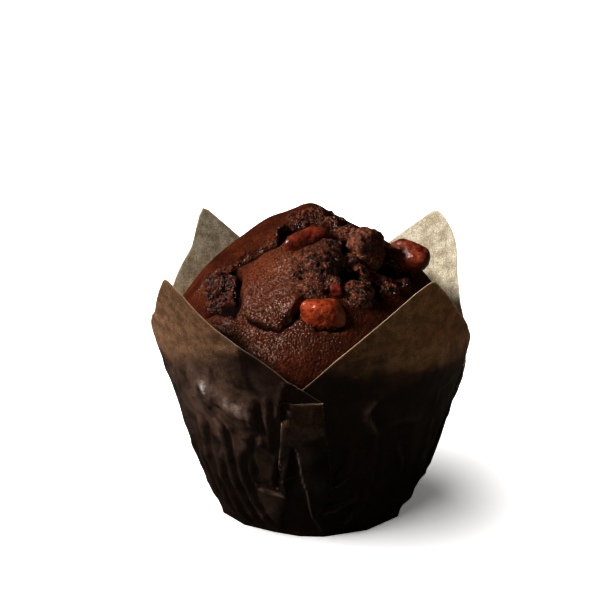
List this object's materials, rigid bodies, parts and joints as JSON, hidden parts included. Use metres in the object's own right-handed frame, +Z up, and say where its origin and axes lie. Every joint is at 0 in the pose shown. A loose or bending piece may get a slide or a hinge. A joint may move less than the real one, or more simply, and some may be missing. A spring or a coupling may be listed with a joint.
{
  "type": "muffin",
  "caption": "Domed chocolate muffin with nuts in its split crust, standing in a folded tulip paper that rises in four pointed petals.",
  "frame": {"origin": "centre of the flat base, on the surface that the muffin stands on", "axes": "+Z up through the top of the crust, -Y towards the front pleat of the paper, +X to the right of it"},
  "size_m": [0.0798, 0.0822, 0.0791],
  "materials": {
    "paper": "matt greaseproof paper, brown outside and pale inside, dark and glossy where the fat has soaked in",
    "crumb": "baked chocolate crumb with a fine satin crust",
    "nut": "toasted nut with a satin red-brown skin",
    "chocolate": "dark chocolate, softly glossy"
  },
  "bodies": {
    "root": {"wrapper": "paper", "crumb": "crumb", "nut_front": "nut", "nut_right": "nut", "nut_crack": "nut", "nut_upper": "nut", "nut_sliver": "nut", "nut_back_left": "nut", "nut_back_right": "nut", "chunk_left": "chocolate", "chunk_back": "chocolate"}
  },
  "joints": []
}
